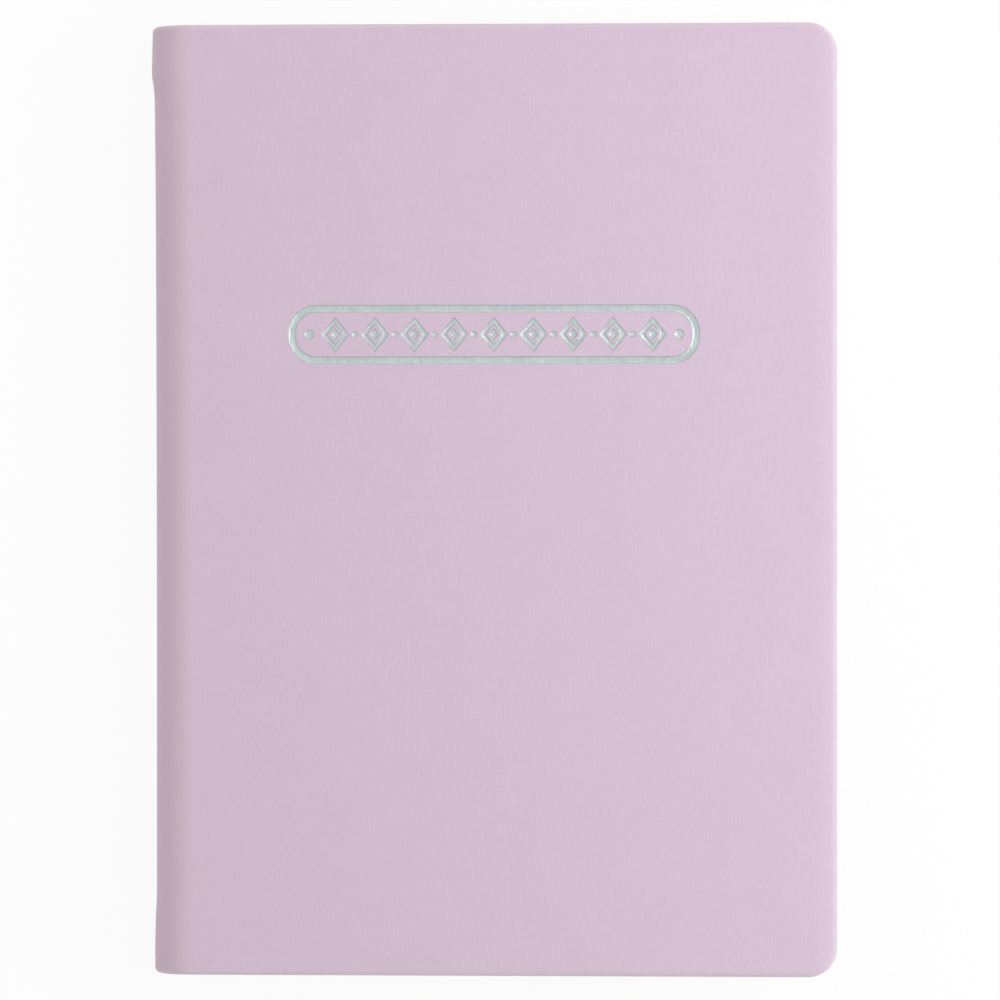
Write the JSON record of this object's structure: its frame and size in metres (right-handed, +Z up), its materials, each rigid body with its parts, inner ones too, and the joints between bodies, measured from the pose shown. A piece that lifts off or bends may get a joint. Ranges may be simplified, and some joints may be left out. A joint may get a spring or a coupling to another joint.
{
  "type": "address book",
  "caption": "Hard-cover address book in lilac cloth with rounded fore-edge corners, a foil-stamped capsule label, opening covers and step-cut index sections that turn.",
  "frame": {"origin": "middle of the closed book's footprint, on the level it rests on, back cover down", "axes": "+X from the spine to the fore edge, +Y from tail to head, +Z up through the front cover"},
  "size_m": [0.129, 0.178, 0.0173],
  "materials": {
    "cover_cloth": "matt lilac pink linen-grained cover cloth",
    "grey_board": "plain grey binder's board",
    "endpaper": "smooth uncoated off-white endpaper",
    "silver_foil": "stamped silver foil with a cool cast, slightly uneven",
    "kraft_paper": "brown kraft paper",
    "mull_gauze": "open-weave stiffened gauze",
    "binding_glue": "dried white binding glue",
    "page_paper": "uncoated ivory writing paper",
    "linen_thread": "waxed linen thread",
    "band_silk": "woven lilac and white band"
  },
  "bodies": {
    "bound_back": {"spine_cloth": "cover_cloth", "spine_strip": "grey_board", "hollow_tube": "kraft_paper", "mull": "mull_gauze", "spine_glue": "binding_glue", "section_folds": "page_paper", "sewing_thread": "linen_thread", "headband": "band_silk", "tailband": "band_silk"},
    "front_cover": {"front_cover_cloth": "cover_cloth", "front_board": "grey_board", "front_pastedown": "endpaper", "foil_frame": "silver_foil", "foil_dots": "silver_foil", "foil_ornament": "silver_foil"},
    "back_cover": {"back_cover_cloth": "cover_cloth", "back_board": "grey_board", "back_pastedown": "endpaper"},
    "front_flyleaf": {"front_flyleaf": "endpaper"},
    "back_flyleaf": {"back_flyleaf": "endpaper"},
    "index_section_ab": {"index_section_ab": "page_paper"},
    "index_section_cd": {"index_section_cd": "page_paper"},
    "index_section_ef": {"index_section_ef": "page_paper"},
    "index_section_gh": {"index_section_gh": "page_paper"},
    "index_section_ij": {"index_section_ij": "page_paper"},
    "index_section_kl": {"index_section_kl": "page_paper"},
    "index_section_mn": {"index_section_mn": "page_paper"},
    "index_section_op": {"index_section_op": "page_paper"},
    "index_section_qr": {"index_section_qr": "page_paper"},
    "index_section_st": {"index_section_st": "page_paper"},
    "index_section_uv": {"index_section_uv": "page_paper"},
    "index_section_wx": {"index_section_wx": "page_paper"},
    "index_section_yz": {"index_section_yz": "page_paper"}
  },
  "joints": [
    {"name": "front_cover_open", "type": "hinge", "parent": "bound_back", "child": "front_cover", "pos_m": [-0.0558, 0, 0.0173], "axis": [0, -1, 0], "range_deg": [0, 180]},
    {"name": "back_cover_open", "type": "hinge", "parent": "bound_back", "child": "back_cover", "pos_m": [-0.0558, 0, 0], "axis": [0, 1, 0], "range_deg": [0, 180]},
    {"name": "front_flyleaf_turn", "type": "hinge", "parent": "bound_back", "child": "front_flyleaf", "pos_m": [-0.0558, 0, 0.0173], "axis": [0, -1, 0], "range_deg": [0, 175.01]},
    {"name": "index_section_ab_turn", "type": "hinge", "parent": "bound_back", "child": "index_section_ab", "pos_m": [-0.0558, 0, 0.0173], "axis": [0, -1, 0], "range_deg": [0, 170.01]},
    {"name": "index_section_cd_turn", "type": "hinge", "parent": "bound_back", "child": "index_section_cd", "pos_m": [-0.0558, 0, 0.0173], "axis": [0, -1, 0], "range_deg": [0, 166.01]},
    {"name": "index_section_ef_turn", "type": "hinge", "parent": "bound_back", "child": "index_section_ef", "pos_m": [-0.0558, 0, 0.0173], "axis": [0, -1, 0], "range_deg": [0, 161.01]},
    {"name": "index_section_gh_turn", "type": "hinge", "parent": "bound_back", "child": "index_section_gh", "pos_m": [-0.0558, 0, 0.0173], "axis": [0, -1, 0], "range_deg": [0, 155.01]},
    {"name": "index_section_ij_turn", "type": "hinge", "parent": "bound_back", "child": "index_section_ij", "pos_m": [-0.0558, 0, 0.0173], "axis": [0, -1, 0], "range_deg": [0, 147.01]},
    {"name": "index_section_kl_turn", "type": "hinge", "parent": "bound_back", "child": "index_section_kl", "pos_m": [-0.0558, 0, 0.0173], "axis": [0, -1, 0], "range_deg": [0, 136.01]},
    {"name": "index_section_mn_turn", "type": "hinge", "parent": "bound_back", "child": "index_section_mn", "pos_m": [-0.0558, 0, 0.0173], "axis": [0, -1, 0], "range_deg": [0, 62.01]},
    {"name": "index_section_op_turn", "type": "hinge", "parent": "bound_back", "child": "index_section_op", "pos_m": [-0.0558, 0, 0.0173], "axis": [0, -1, 0], "range_deg": [0, 42.01]},
    {"name": "index_section_qr_turn", "type": "hinge", "parent": "bound_back", "child": "index_section_qr", "pos_m": [-0.0558, 0, 0.0173], "axis": [0, -1, 0], "range_deg": [0, 29.01]},
    {"name": "index_section_st_turn", "type": "hinge", "parent": "bound_back", "child": "index_section_st", "pos_m": [-0.0558, 0, 0.0173], "axis": [0, -1, 0], "range_deg": [0, 20.01]},
    {"name": "index_section_uv_turn", "type": "hinge", "parent": "bound_back", "child": "index_section_uv", "pos_m": [-0.0558, 0, 0.0173], "axis": [0, -1, 0], "range_deg": [0, 13.01]},
    {"name": "index_section_wx_turn", "type": "hinge", "parent": "bound_back", "child": "index_section_wx", "pos_m": [-0.0558, 0, 0.0173], "axis": [0, -1, 0], "range_deg": [0, 8.01]},
    {"name": "index_section_yz_turn", "type": "hinge", "parent": "bound_back", "child": "index_section_yz", "pos_m": [-0.0558, 0, 0.0173], "axis": [0, -1, 0], "range_deg": [0, 4.01]},
    {"name": "back_flyleaf_turn", "type": "hinge", "parent": "bound_back", "child": "back_flyleaf", "pos_m": [-0.0558, 0, 0], "axis": [0, 1, 0], "range_deg": [0, 175.01]}
  ],
  "couplings": [
    {"joint": "front_flyleaf_turn", "follows": "front_cover_open", "ratio": 0.97222},
    {"joint": "index_section_ab_turn", "follows": "front_cover_open", "ratio": 0.94444},
    {"joint": "index_section_cd_turn", "follows": "front_cover_open", "ratio": 0.92222},
    {"joint": "index_section_ef_turn", "follows": "front_cover_open", "ratio": 0.89444},
    {"joint": "index_section_gh_turn", "follows": "front_cover_open", "ratio": 0.86111},
    {"joint": "index_section_ij_turn", "follows": "front_cover_open", "ratio": 0.81667},
    {"joint": "index_section_kl_turn", "follows": "front_cover_open", "ratio": 0.75556},
    {"joint": "index_section_mn_turn", "follows": "front_cover_open", "ratio": 0.34444},
    {"joint": "index_section_op_turn", "follows": "front_cover_open", "ratio": 0.23333},
    {"joint": "index_section_qr_turn", "follows": "front_cover_open", "ratio": 0.16111},
    {"joint": "index_section_st_turn", "follows": "front_cover_open", "ratio": 0.11111},
    {"joint": "index_section_uv_turn", "follows": "front_cover_open", "ratio": 0.072222},
    {"joint": "index_section_wx_turn", "follows": "front_cover_open", "ratio": 0.044444},
    {"joint": "index_section_yz_turn", "follows": "front_cover_open", "ratio": 0.022222},
    {"joint": "back_flyleaf_turn", "follows": "back_cover_open", "ratio": 0.97222}
  ]
}
